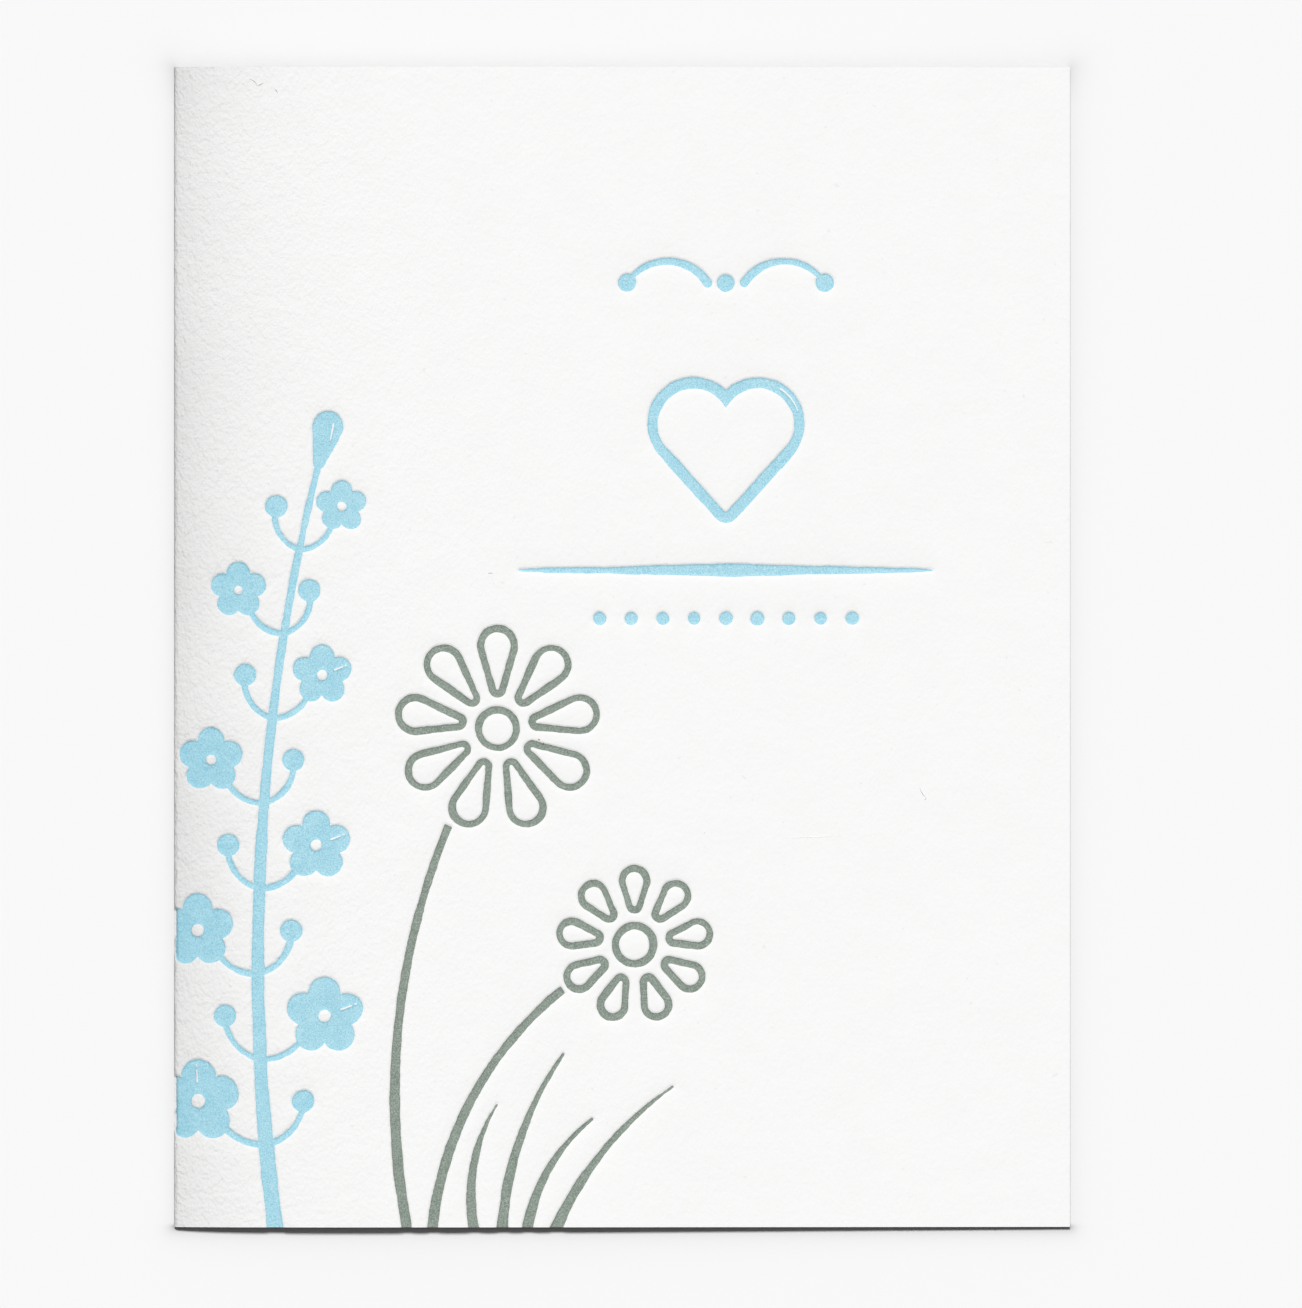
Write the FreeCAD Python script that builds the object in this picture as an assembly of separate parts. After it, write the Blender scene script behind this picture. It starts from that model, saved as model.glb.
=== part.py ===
"""A single-fold letterpress greeting card, lying closed on its back panel.

One sheet of thick cotton stock is scored down the middle and folded, so it is one solid. The fold is on
the left. Beside it the front panel springs up a little, and from a soft crest it comes down to the free
edges. The print is pressed into the front panel, and each ink colour is a thin layer in the floors of
its own recesses.

Frame, in millimetres: X from the fold to the free edges, Y up the card, Z up from the table. The origin
is under the middle of the card, on the table. A place in the print is written (u, v), where u is the
distance from the fold and v is the distance from the bottom edge.
"""

import FreeCAD
import Part
import math
import os

Vector = FreeCAD.Vector

# The folded sheet
PANEL_WIDTH = 107.95  # 4.25 inches, from the fold to the free edge
PANEL_HEIGHT = 139.7  # 5.5 inches
STOCK = 0.55  # thickness of a 300 g/m2 cotton stock
FOLD_INNER_RADIUS = 0.3
SCORE_BEAD_RADIUS = 0.16  # the ridge that scoring raises on the inside of the fold
SPRING_ANGLE = 6.5  # degrees by which the front panel stands up from the fold
SHOULDER_DISTANCE = 8.5  # from the fold to the line where the front panel eases off
SHOULDER_RADIUS = 25.0  # of that bend, on the outside
RISE_ANGLE = 1.5  # degrees, from the shoulder to the crest
CREST_DISTANCE = 27.0  # from the fold to the line where the front panel bends over
CREST_RADIUS = 90.0
EDGE_GAP = 0.12  # between the panels at the free edges

# The pressing of the print
IMPRESSION = 0.16  # from the paper's face down to the ink's face
INK_LAYER = 0.08  # how deep the ink has soaked into the pressed fibres
OVERRUN = 2.0  # by which a cutting shape, or a stem that leaves the card, runs past the edge
PLATE_FLATNESS = 0.12  # the plate's outlines are straight steps that stay this close to the curve
SAME_PLACE = 0.000001

# Blue: a tall spray of solid blossoms beside the fold
SPRAY_FOOT_U = 12.5
SPRAY_TIP_U = 17.5
SPRAY_HEIGHT = 92.0
SPRAY_BOW = 4.5  # how far the stem swells towards the fold
SPRAY_FOOT_WIDTH = 1.9
SPRAY_TIP_WIDTH = 0.7
SPRAY_BLOSSOMS = 8
BARE_FOOT = 10.0  # from the foot to the lowest blossom's stalk
BARE_TIP = 10.6  # from the highest blossom's stalk to the tip
STALK_REACH = 8.2  # of the lowest blossom, sideways from the stem
STALK_RISE = 5.2
STALK_WIDTH = 0.7
STALK_BOW = 1.2
BOTTOM_BLOSSOM_RADIUS = 5.0
TOP_BLOSSOM_RADIUS = 3.1
BLOSSOM_PETALS = 5
PETAL_SHARE = 0.41  # a petal's radius, over its blossom's: neighbouring petals overlap
CUP_SHARE = 0.36  # the printed cup in the middle, over the blossom's radius
EYE_SHARE = 0.17  # the bare eye in the cup, over the blossom's radius
STALK_SHARE = 0.5  # where a stalk ends inside its blossom, over the blossom's radius
BUD_REACH = 4.5
BUD_RADIUS = 1.35
TIP_BUD_LENGTH = 4.5
TIP_BUD_RADIUS = 1.9

# Grey-green: two open flowers in outline, on curved stems, with blades of grass
LINE_WIDTH = 0.85
BIG_FLOWER_U = 39.0
BIG_FLOWER_V = 60.0
BIG_FLOWER_RADIUS = 12.5
BIG_PETAL_RADIUS = 2.45
SMALL_FLOWER_U = 55.5
SMALL_FLOWER_V = 34.0
SMALL_FLOWER_RADIUS = 9.6
SMALL_PETAL_RADIUS = 1.9
FLOWER_PETALS = 9
FLOWER_EYE_RADIUS = 2.7
PETAL_GAP = 1.1  # from the eye to the petals
PETAL_ROOT_RADIUS = 0.2  # inside the line, where a petal starts
BIG_STEM_FOOT_U = 28.5
SMALL_STEM_FOOT_U = 31.0
FLOWER_STEM_BOW = 6.0
FLOWER_STEM_WIDTH = 1.3
FLOWER_STEM_GAP = 0.6  # from the end of the stem to the ring of petals
BLADES = 4
BLADE_FOOT_U = 36.6
BLADE_PITCH = 2.9
LONG_BLADE = 22.0
SHORT_BLADE = 15.0
BLADE_WIDTH = 1.5
BLADE_TIP_WIDTH = 0.35
BLADE_BOW = 1.8
FIRST_BLADE_ANGLE = 82.0  # degrees from the bottom edge
LAST_BLADE_ANGLE = 52.0

# Blue: the ornament in the upper right, placed from the free edge and the top edge
ORNAMENT_FROM_EDGE = 41.45
ORNAMENT_FROM_TOP = 43.0
HEART_WIDTH = 19.0
HEART_HEIGHT = 17.5
HEART_LINE = 1.3
HEART_TIP_RADIUS = 0.3  # inside the line
LOBE_SPREAD = 0.9  # from the middle to a lobe's centre, over the lobe's inner radius
CROWN_RISE = 17.0  # from the middle of the lobes up to the crown
CROWN_WIDTH = 26.0
CROWN_BOW = 2.6
CROWN_LINE = 1.1
RULE_DROP = 17.6  # from the middle of the lobes down to the swelled rule
RULE_WIDTH = 50.0
RULE_SWELL = 1.5  # the rule's thickness in the middle
RULE_TIP = 0.4
ROW_DROP = 23.4  # from the middle of the lobes down to the row of dots
ROW_WIDTH = 32.0
ROW_DOTS = 9
DOT_RADIUS = 0.8


def section_point(centre, radius, degrees):
    """A point of the card's cross section, on a circle about centre, as (x, z)."""
    turn = math.radians(degrees)
    return (centre[0] + radius * math.cos(turn), centre[1] + radius * math.sin(turn))


def direction(start, end):
    return math.degrees(math.atan2(end[1] - start[1], end[0] - start[0]))


class Bend:
    """A soft bend of the front panel at a corner of its outer face, between two slopes in degrees."""

    def __init__(self, corner, slope_before, slope_after, radius):
        self.directions = (90 + slope_before, 90 + (slope_before + slope_after) / 2, 90 + slope_after)
        self.radius = radius
        to_centre = radius / math.cos(math.radians((slope_before - slope_after) / 2))
        self.centre = section_point(corner, -to_centre, self.directions[1])

    def points(self, depth):
        return [section_point(self.centre, self.radius - depth, turn) for turn in self.directions]


class Section:
    """The card's cross section: a tight fold, then a front panel that springs up to a shoulder, rises to
    its crest and falls to the free edge. A depth is measured inwards from the outer face."""

    def __init__(self):
        fold_x = -PANEL_WIDTH / 2
        self.free_x = PANEL_WIDTH / 2
        self.fold_radius = FOLD_INNER_RADIUS + STOCK
        self.fold_centre = (fold_x + self.fold_radius, self.fold_radius)
        fold_end = self.fold_points(0)[2]
        shoulder = self.uphill(fold_end, fold_x + SHOULDER_DISTANCE, SPRING_ANGLE)
        crest = self.uphill(shoulder, fold_x + CREST_DISTANCE, RISE_ANGLE)
        self.free_end = (self.free_x, 2 * STOCK + EDGE_GAP)
        self.fall_slope = direction(crest, self.free_end)
        self.shoulder_bend = Bend(shoulder, SPRING_ANGLE, RISE_ANGLE, SHOULDER_RADIUS)
        self.crest_bend = Bend(crest, RISE_ANGLE, self.fall_slope, CREST_RADIUS)

    def uphill(self, start, x, slope):
        return (x, start[1] + (x - start[0]) * math.tan(math.radians(slope)))

    def fold_points(self, depth):
        """Three points around the fold at a depth: from the back panel to the front panel."""
        radius = self.fold_radius - depth
        end = 90 + SPRING_ANGLE
        return [section_point(self.fold_centre, radius, turn) for turn in (270, (270 + end) / 2, end)]

    def front_chain(self, depth):
        """The front panel at a depth, from the fold to the free edge: lines (2 points), arcs (3 points)."""
        start = self.fold_points(depth)[2]
        shoulder = self.shoulder_bend.points(depth)
        crest = self.crest_bend.points(depth)
        end = section_point(self.free_end, -depth, 90 + self.fall_slope)
        return [[start, shoulder[0]], shoulder, [shoulder[2], crest[0]], crest, [crest[2], end]]


def backwards(chain):
    return [points[::-1] for points in reversed(chain)]


def upright(point, y):
    return Vector(point[0], y, point[1])


def prism_along_y(chain, y_start, length):
    """A solid whose cross section is a closed chain of lines (2 points) and arcs (3 points)."""
    edges = []
    for points in chain:
        ends = [upright(point, y_start) for point in points]
        if len(ends) == 2:
            edges.append(Part.LineSegment(*ends).toShape())
        else:
            edges.append(Part.Arc(*ends).toShape())
    return Part.Face(Part.Wire(edges)).extrude(Vector(0, length, 0))


def folded_sheet(section):
    """The bare folded sheet, with the ridge that the score raised inside the fold."""
    outer = section.front_chain(0)
    inner = backwards(section.front_chain(STOCK))
    outer_fold = section.fold_points(0)
    inner_fold = section.fold_points(STOCK)[::-1]
    back_outer = (section.free_x, 0.0)
    back_inner = (section.free_x, STOCK)
    chain = [(back_outer, outer_fold[0]), outer_fold] + outer
    chain += [(outer[-1][-1], inner[0][0])] + inner
    chain += [inner_fold, (inner_fold[-1], back_inner), (back_inner, back_outer)]
    sheet = prism_along_y(chain, -PANEL_HEIGHT / 2, PANEL_HEIGHT)
    score = upright(section_point(section.fold_centre, FOLD_INNER_RADIUS, 180), -PANEL_HEIGHT / 2)
    bead = Part.makeCylinder(SCORE_BEAD_RADIUS, PANEL_HEIGHT, score, Vector(0, 1, 0))
    return sheet.fuse(bead).removeSplitter()


def front_layer(section, top_depth, bottom_depth, overrun):
    """The front panel between two depths, run past the bottom and the top edge by overrun."""
    top = section.front_chain(top_depth)
    bottom = backwards(section.front_chain(bottom_depth))
    chain = top + [(top[-1][-1], bottom[0][0])] + bottom + [(bottom[-1][-1], top[0][0])]
    return prism_along_y(chain, -PANEL_HEIGHT / 2 - overrun, PANEL_HEIGHT + 2 * overrun)


def flat(place):
    """A place of the print, given as (u, v), in the card's frame at the table's height."""
    return Vector(place[0] - PANEL_WIDTH / 2, place[1] - PANEL_HEIGHT / 2, 0)


def polar(place, distance, degrees):
    """The place that lies at a distance and direction from another."""
    turn = math.radians(degrees)
    return (place[0] + distance * math.cos(turn), place[1] + distance * math.sin(turn))


def arc_places(centre, radius, start, turn):
    """Places along an arc, in straight steps that stay within the plate's flatness of it."""
    widest_step = 2 * math.degrees(math.acos(max(0.5, 1 - PLATE_FLATNESS / radius)))
    steps = math.ceil(abs(turn) / widest_step)
    return [polar(centre, radius, start + turn * step / steps) for step in range(steps + 1)]


def area_within(places):
    """The flat area within a closed run of places. Places that coincide count once."""
    corners = []
    for place in places:
        if not corners or math.dist(place, corners[-1]) > SAME_PLACE:
            corners.append(place)
    if math.dist(corners[0], corners[-1]) > SAME_PLACE:
        corners.append(corners[0])
    points = [flat(corner) for corner in corners]
    points[-1] = points[0]
    return Part.Face(Part.makePolygon(points))


def disc(place, radius):
    return area_within(arc_places(place, radius, 90, 360))


def capsule(start, start_radius, end, end_radius):
    """The area within two round ends and their common tangents: a petal, a bud or a short stroke."""
    along = direction(start, end)
    lean = math.degrees(math.acos((start_radius - end_radius) / math.dist(start, end)))
    round_end = arc_places(end, end_radius, along + lean, -2 * lean)
    round_start = arc_places(start, start_radius, along - lean, 2 * lean - 360)
    return area_within(round_end + round_start)


class Bow:
    """A circular arc from start to end that swells to the left by bow: the centre line of a stroke."""

    def __init__(self, start, end, bow):
        chord = math.dist(start, end)
        middle = ((start[0] + end[0]) / 2, (start[1] + end[1]) / 2)
        self.along = direction(start, end)
        self.radius = (chord * chord / 4 + bow * bow) / (2 * bow)
        self.centre = polar(middle, bow - self.radius, self.along + 90)
        self.half_turn = math.degrees(2 * math.atan(2 * bow / chord))

    def place(self, share, offset=0.0):
        """The place at a share of the way along, moved to the left by offset."""
        degrees = self.along + 90 + self.half_turn * (1 - 2 * share)
        return polar(self.centre, self.radius + offset, degrees)

    def heading(self, share):
        return self.along + self.half_turn * (1 - 2 * share)


def stroke(start, end, bow, start_width, end_width):
    """A curved pen stroke with round ends, whose width changes evenly along it."""
    line = Bow(start, end, bow)
    steps = len(arc_places(line.centre, abs(line.radius), 0, 2 * line.half_turn)) - 1
    left = []
    right = []
    for step in range(steps + 1):
        share = step / steps
        half_width = (start_width + share * (end_width - start_width)) / 2
        left.append(line.place(share, half_width))
        right.append(line.place(share, -half_width))
    end_cap = arc_places(line.place(1), end_width / 2, line.heading(1) + 90, -180)
    start_cap = arc_places(line.place(0), start_width / 2, line.heading(0) - 90, -180)
    return area_within(left + end_cap + right[::-1] + start_cap)


def blossom(place, radius):
    """Five round petals about a cup with a bare eye."""
    petal_radius = PETAL_SHARE * radius
    faces = [disc(place, CUP_SHARE * radius).cut(disc(place, EYE_SHARE * radius))]
    for petal in range(BLOSSOM_PETALS):
        centre = polar(place, radius - petal_radius, 90 + petal * 360 / BLOSSOM_PETALS)
        faces.append(disc(centre, petal_radius))
    return faces


def blossom_spray():
    """A tall stem that leaves the card at the bottom, with blossoms and buds on alternate sides."""
    foot = (SPRAY_FOOT_U, -OVERRUN)
    tip = (SPRAY_TIP_U, SPRAY_HEIGHT)
    stem = Bow(foot, tip, SPRAY_BOW)
    length = math.dist(foot, tip)
    pitch = (length - OVERRUN - BARE_FOOT - BARE_TIP) / (SPRAY_BLOSSOMS - 1)
    faces = [stroke(foot, tip, SPRAY_BOW, SPRAY_FOOT_WIDTH, SPRAY_TIP_WIDTH)]
    for index in range(SPRAY_BLOSSOMS):
        side = 1 if index % 2 else -1
        shrink = index / (SPRAY_BLOSSOMS - 1) * (1 - TOP_BLOSSOM_RADIUS / BOTTOM_BLOSSOM_RADIUS)
        size = 1 - shrink
        joint = stem.place((OVERRUN + BARE_FOOT + index * pitch) / length)
        head = (joint[0] + side * STALK_REACH * size, joint[1] + STALK_RISE)
        radius = BOTTOM_BLOSSOM_RADIUS * size
        stalk_end = polar(head, STALK_SHARE * radius, direction(head, joint))
        faces.append(stroke(joint, stalk_end, -side * STALK_BOW, STALK_WIDTH, STALK_WIDTH))
        faces += blossom(head, radius)
        bud = (joint[0] - side * BUD_REACH * size, joint[1] + STALK_RISE)
        faces.append(stroke(joint, bud, side * STALK_BOW, STALK_WIDTH, STALK_WIDTH))
        faces.append(disc(bud, BUD_RADIUS))
    tip_bud = polar(tip, TIP_BUD_LENGTH, stem.heading(1))
    faces.append(capsule(tip, SPRAY_TIP_WIDTH, tip_bud, TIP_BUD_RADIUS))
    return faces


def outlined_flower(place, radius, petal_radius):
    """A round eye and a ring of petals, drawn with a line of even width."""
    root_radius = PETAL_ROOT_RADIUS + LINE_WIDTH
    root_distance = FLOWER_EYE_RADIUS + PETAL_GAP + root_radius
    faces = [disc(place, FLOWER_EYE_RADIUS).cut(disc(place, FLOWER_EYE_RADIUS - LINE_WIDTH))]
    for petal in range(FLOWER_PETALS):
        turn = 90 + petal * 360 / FLOWER_PETALS
        root = polar(place, root_distance, turn)
        tip = polar(place, radius - petal_radius, turn)
        outside = capsule(root, root_radius, tip, petal_radius)
        inside = capsule(root, PETAL_ROOT_RADIUS, tip, petal_radius - LINE_WIDTH)
        faces.append(outside.cut(inside))
    return faces


def flower_stem(foot_u, flower, radius):
    """A stem that points at the eye of a flower and stops short of its petals."""
    to_eye = stroke((foot_u, -OVERRUN), flower, FLOWER_STEM_BOW, FLOWER_STEM_WIDTH, LINE_WIDTH)
    return to_eye.cut(disc(flower, radius + FLOWER_STEM_GAP)).Faces[0]


def grass():
    """Blades that fan out from the bottom edge, long and short by turns."""
    blades = []
    for index in range(BLADES):
        share = index / (BLADES - 1)
        foot = (BLADE_FOOT_U + index * BLADE_PITCH, -OVERRUN)
        lean = FIRST_BLADE_ANGLE + share * (LAST_BLADE_ANGLE - FIRST_BLADE_ANGLE)
        length = LONG_BLADE if index % 2 else SHORT_BLADE
        tip = polar(foot, length + OVERRUN, lean)
        blades.append(stroke(foot, tip, BLADE_BOW, BLADE_WIDTH, BLADE_TIP_WIDTH))
    return blades


def outlined_flowers():
    big_flower = (BIG_FLOWER_U, BIG_FLOWER_V)
    small_flower = (SMALL_FLOWER_U, SMALL_FLOWER_V)
    faces = outlined_flower(big_flower, BIG_FLOWER_RADIUS, BIG_PETAL_RADIUS)
    faces += outlined_flower(small_flower, SMALL_FLOWER_RADIUS, SMALL_PETAL_RADIUS)
    faces.append(flower_stem(BIG_STEM_FOOT_U, big_flower, BIG_FLOWER_RADIUS))
    faces.append(flower_stem(SMALL_STEM_FOOT_U, small_flower, SMALL_FLOWER_RADIUS))
    return faces + grass()


def heart_area(place, lobe_spread, lobe_radius, tip, tip_radius):
    """A filled heart: a drop from each lobe to the shared tip."""
    left = capsule((place[0] - lobe_spread, place[1]), lobe_radius, tip, tip_radius)
    right = capsule((place[0] + lobe_spread, place[1]), lobe_radius, tip, tip_radius)
    return left.fuse(right)


def heart(place):
    """A heart drawn with a line of even width. Its lobes are level with place."""
    outer_radius = (HEART_WIDTH / 2 + LOBE_SPREAD * HEART_LINE) / (1 + LOBE_SPREAD)
    inner_radius = outer_radius - HEART_LINE
    spread = LOBE_SPREAD * inner_radius
    tip_radius = HEART_TIP_RADIUS + HEART_LINE
    tip = (place[0], place[1] + outer_radius - HEART_HEIGHT + tip_radius)
    outside = heart_area(place, spread, outer_radius, tip, tip_radius)
    return outside.cut(heart_area(place, spread, inner_radius, tip, HEART_TIP_RADIUS))


def ornament():
    """A crown of two curls, a heart, a swelled rule and a row of dots, one below the other."""
    middle = PANEL_WIDTH - ORNAMENT_FROM_EDGE
    level = PANEL_HEIGHT - ORNAMENT_FROM_TOP
    faces = [heart((middle, level))]
    crown = (middle, level + CROWN_RISE)
    rule = (middle, level - RULE_DROP)
    faces.append(disc(crown, CROWN_LINE))
    for side in (-1, 1):
        curl_start = (middle + side * 2 * CROWN_LINE, crown[1])
        curl_end = (middle + side * (CROWN_WIDTH / 2 - CROWN_LINE), crown[1])
        faces.append(stroke(curl_start, curl_end, side * CROWN_BOW, CROWN_LINE, CROWN_LINE / 2))
        faces.append(disc(curl_end, CROWN_LINE))
        rule_end = (middle + side * (RULE_WIDTH - RULE_TIP) / 2, rule[1])
        faces.append(capsule(rule, RULE_SWELL / 2, rule_end, RULE_TIP / 2))
    pitch = (ROW_WIDTH - 2 * DOT_RADIUS) / (ROW_DOTS - 1)
    for index in range(ROW_DOTS):
        dot = middle + (index - (ROW_DOTS - 1) / 2) * pitch
        faces.append(disc((dot, level - ROW_DROP), DOT_RADIUS))
    return faces


def joined(faces):
    """The faces as one flat area, with the lines between them taken out."""
    pieces = faces[0].multiFuse(faces[1:])
    return Part.makeCompound(Part.Shell(pieces.Faces).removeSplitter().Faces)


def export(name, shape):
    os.makedirs("parts", exist_ok=True)
    solids = Part.makeCompound(shape.Solids)
    solids.exportStep("parts/" + name + ".step")
    print(name, len(solids.Solids), "solids", round(solids.Volume, 3), "mm3, valid", solids.isValid())


def main():
    section = Section()
    blue_area = joined(blossom_spray() + ornament())
    green_area = joined(outlined_flowers()).cut(blue_area)
    above_card = Vector(0, 0, PANEL_WIDTH)
    blue_columns = blue_area.extrude(above_card)
    green_columns = green_area.extrude(above_card)
    pressed = front_layer(section, -OVERRUN, IMPRESSION + INK_LAYER, OVERRUN)
    soaked = front_layer(section, IMPRESSION, IMPRESSION + INK_LAYER, 0)
    recesses = Part.makeCompound([blue_columns, green_columns]).common(pressed)
    export("folded_card", folded_sheet(section).cut(recesses))
    export("blue_ink", blue_columns.common(soaked))
    export("green_ink", green_columns.common(soaked))


main()
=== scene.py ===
"""A folded letterpress greeting card that lies closed on a pale table, seen from straight above.

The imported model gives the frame. The card's paper is one mesh with the print pressed into it, and each
ink colour is a thin skin on the floors of its own recesses. Sizes are in millimetres and are the ones
that the card was built to. A place in the print is written (u, v), where u is the distance from the fold
and v is the distance from the bottom edge.
"""

import math

import bpy
import numpy as np
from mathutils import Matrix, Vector
from mathutils.geometry import delaunay_2d_cdt


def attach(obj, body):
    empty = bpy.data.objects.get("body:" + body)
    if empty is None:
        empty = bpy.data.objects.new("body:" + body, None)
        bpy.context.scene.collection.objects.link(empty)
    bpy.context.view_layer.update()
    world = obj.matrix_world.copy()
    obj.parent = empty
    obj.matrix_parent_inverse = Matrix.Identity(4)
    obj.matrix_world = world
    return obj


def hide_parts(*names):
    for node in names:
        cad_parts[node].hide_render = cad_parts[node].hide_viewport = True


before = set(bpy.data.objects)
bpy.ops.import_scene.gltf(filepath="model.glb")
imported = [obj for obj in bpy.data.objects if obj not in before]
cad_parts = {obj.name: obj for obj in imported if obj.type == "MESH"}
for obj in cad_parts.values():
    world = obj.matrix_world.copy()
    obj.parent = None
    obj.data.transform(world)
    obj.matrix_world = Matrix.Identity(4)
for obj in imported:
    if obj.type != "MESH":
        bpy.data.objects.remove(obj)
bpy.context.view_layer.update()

MM = 0.001

# The folded sheet
PANEL_WIDTH = 107.95
PANEL_HEIGHT = 139.7
STOCK = 0.55
FOLD_INNER_RADIUS = 0.3
SCORE_BEAD_RADIUS = 0.16
EDGE_GAP = 0.12
FOLD_SPRING = 6.0  # degrees of the front panel's spring that die away close to the fold
FOLD_EASE = 3.2  # distance over which they do
PANEL_EASE = 10.5  # distance over which the rest of the spring dies away
FALL_SLOPE = 1.3  # degrees by which the front panel comes down to the free edge
BACK_FOLD_STEPS = 14  # mesh steps from the middle of the fold round to the back panel
FRONT_FOLD_STEPS = 12  # and from there round to the front panel
SCORE_BEAD_SPREAD = 28.0  # degrees to each side in which the score's ridge dies away

# The pressing
IMPRESSION = 0.32
INK_SKIN = 0.012
INK_SKIRT = 2 * INK_SKIN  # by which the ink's edge goes into the paper
INK_GAP = 0.4  # that the green print keeps from the blue
WALL_INSIDE = 0.14
WALL_OUTSIDE = 0.15
FLOOR_CROWN = 0.025  # by which the pressed paper springs back in the middle of a wide shape
FLOOR_CROWN_REACH = 0.5
PILLOW = 1.1  # how far around the print the paper is drawn down
PILLOW_SHARE = 0.24

# Unevenness, where each layer of noise is (height, size of its humps, seed)
HAND_WOBBLE = ((0.07, 3.1, 5), (0.035, 0.9, 6), (0.03, 0.34, 7))
COCKLE = ((0.02, 31, 11), (0.008, 11, 12))
COCKLE_HOLD = 12  # distance from the fold and the free edge over which the cockle dies away
ROUGHNESS = 0.018  # of the cut edges
ROUGHNESS_SIZE = 0.45
NOISE_CELLS = 64
NOISE_SHIFT = (7.3, 3.1)
FRONT_EDGE_SEEDS = (21, 31, 41)  # of the bottom, the top and the free edge
BACK_EDGE_SEEDS = (51, 61, 71)

# The painted shade by the fold, and the stock's tooth
FOLD_SHADE = 0.42  # painted shade that darkens the stock and the ink along the scored fold
FOLD_SHADE_REACH = 7.0  # distance over which that falls to about a third
TOOTH_REACH = 16.0  # distance over which the tooth falls to about a third
TOOTH_SHARE = 0.22  # of the tooth that shows by the fold, as much shows everywhere

# Blue spray
SPRAY_FOOT_U = 12.5
SPRAY_TIP_U = 17.5
SPRAY_HEIGHT = 92.0
SPRAY_BOW = 4.5
SPRAY_FOOT_WIDTH = 1.9
SPRAY_TIP_WIDTH = 0.7
SPRAY_BLOSSOMS = 8
BARE_FOOT = 10.0
BARE_TIP = 10.6
STALK_REACH = 8.2
STALK_RISE = 5.2
STALK_WIDTH = 0.7
STALK_BOW = 1.2
BOTTOM_BLOSSOM_RADIUS = 5.0
TOP_BLOSSOM_RADIUS = 3.1
BLOSSOM_PETALS = 5
PETAL_SHARE = 0.41
CUP_SHARE = 0.36
EYE_SHARE = 0.17
STALK_SHARE = 0.5
BUD_REACH = 4.5
BUD_RADIUS = 1.35
TIP_BUD_LENGTH = 4.5
TIP_BUD_RADIUS = 1.9
OVERRUN = 2.0
STREAK_WIDTH = 0.22  # of the thin streaks that the ink leaves bare
STREAK_BLOSSOMS = (0, 1, 3, 5)
STREAK_TURN = 93  # degrees, and one petal further round on the right side
STREAK_SPANS = ((0.45, 0.75), (0.83, 0.88))  # shares of the blossom's radius
TIP_STREAK_START = 0.4  # share of the tip bud's radius
TIP_STREAK_LENGTH = 1.1
TIP_STREAK_SIDE = -50  # degrees from the stem's heading
TIP_STREAK_TURN = 183

# Grey-green flowers and grass
LINE_WIDTH = 0.85
BIG_FLOWER = (39.0, 60.0)
BIG_FLOWER_RADIUS = 12.5
BIG_PETAL_RADIUS = 2.45
SMALL_FLOWER = (55.5, 34.0)
SMALL_FLOWER_RADIUS = 9.6
SMALL_PETAL_RADIUS = 1.9
FLOWER_PETALS = 9
FLOWER_EYE_RADIUS = 2.7
PETAL_GAP = 1.1
PETAL_ROOT_RADIUS = 0.2
BIG_STEM_FOOT_U = 28.5
SMALL_STEM_FOOT_U = 31.0
FLOWER_STEM_BOW = 6.0
FLOWER_STEM_WIDTH = 1.3
FLOWER_STEM_GAP = 0.6
BLADES = 4
BLADE_FOOT_U = 36.6
BLADE_PITCH = 2.9
LONG_BLADE = 22.0
SHORT_BLADE = 15.0
BLADE_WIDTH = 1.5
BLADE_TIP_WIDTH = 0.35
BLADE_BOW = 1.8
FIRST_BLADE_ANGLE = 82.0
LAST_BLADE_ANGLE = 52.0

# Blue ornament
ORNAMENT_FROM_EDGE = 41.45
ORNAMENT_FROM_TOP = 43.0
HEART_WIDTH = 19.0
HEART_HEIGHT = 17.5
HEART_LINE = 1.3
HEART_TIP_RADIUS = 0.3
LOBE_SPREAD = 0.9
CROWN_RISE = 17.0
CROWN_WIDTH = 26.0
CROWN_BOW = 2.6
CROWN_LINE = 1.1
RULE_DROP = 17.6
RULE_WIDTH = 50.0
RULE_SWELL = 1.5
RULE_TIP = 0.4
ROW_DROP = 23.4
ROW_WIDTH = 32.0
ROW_DOTS = 9
DOT_RADIUS = 0.8
HEART_STREAK_INSET = 0.45  # share of the heart's line
HEART_STREAK_START = 58  # degrees round the right lobe
HEART_STREAK_END = 18

# The meshes, where the first two rows are pairs of a distance from the print and a spacing
PRESSED_LINES = ((0.0, 0.17), (-WALL_INSIDE, 0.17), (WALL_OUTSIDE, 0.19))
PRESSED_PLACES = ((0.28, 0.4), (0.9, 0.9), (-0.2, 0.4), (-0.5, 0.6), (-1.0, 1.0))
SHORT_RUN = 4  # points, up to which a run of a contour is left out
BORDER_COLUMNS = 180
BORDER_ROWS = 233
FOLD_ROW_START = 0.5
FOLD_ROW_PITCH = 0.7
FOLD_ROW_CLEARANCE = 0.14  # that its places keep from the outlines of the print
EASE_START = 0.6  # past the fold
EASE_END = 9
EASE_COLUMNS = 10
PLAIN_START = 11
PLAIN_PITCH = 2.2
PLAIN_CLEARANCE = 1.3
INNER_EASE_US = (2, 9, 1.5)  # start, end and pitch
INNER_US = (10, PANEL_WIDTH - 3, 4.0)
INNER_VS = (1.5, PANEL_HEIGHT - 1, 3.0)
INNER_FOLD_MARGIN = 0.1
BACK_COLUMNS = 60
BACK_ROWS = 80
BACK_PITCH = 6.0
BACK_MARGIN = 4
FRONT_EDGE_DEPTHS = (0.08, 0.2, 0.35, 0.47)
FRONT_EDGE_MARGIN = 0.02  # by which these stay below the pressed face
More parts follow.
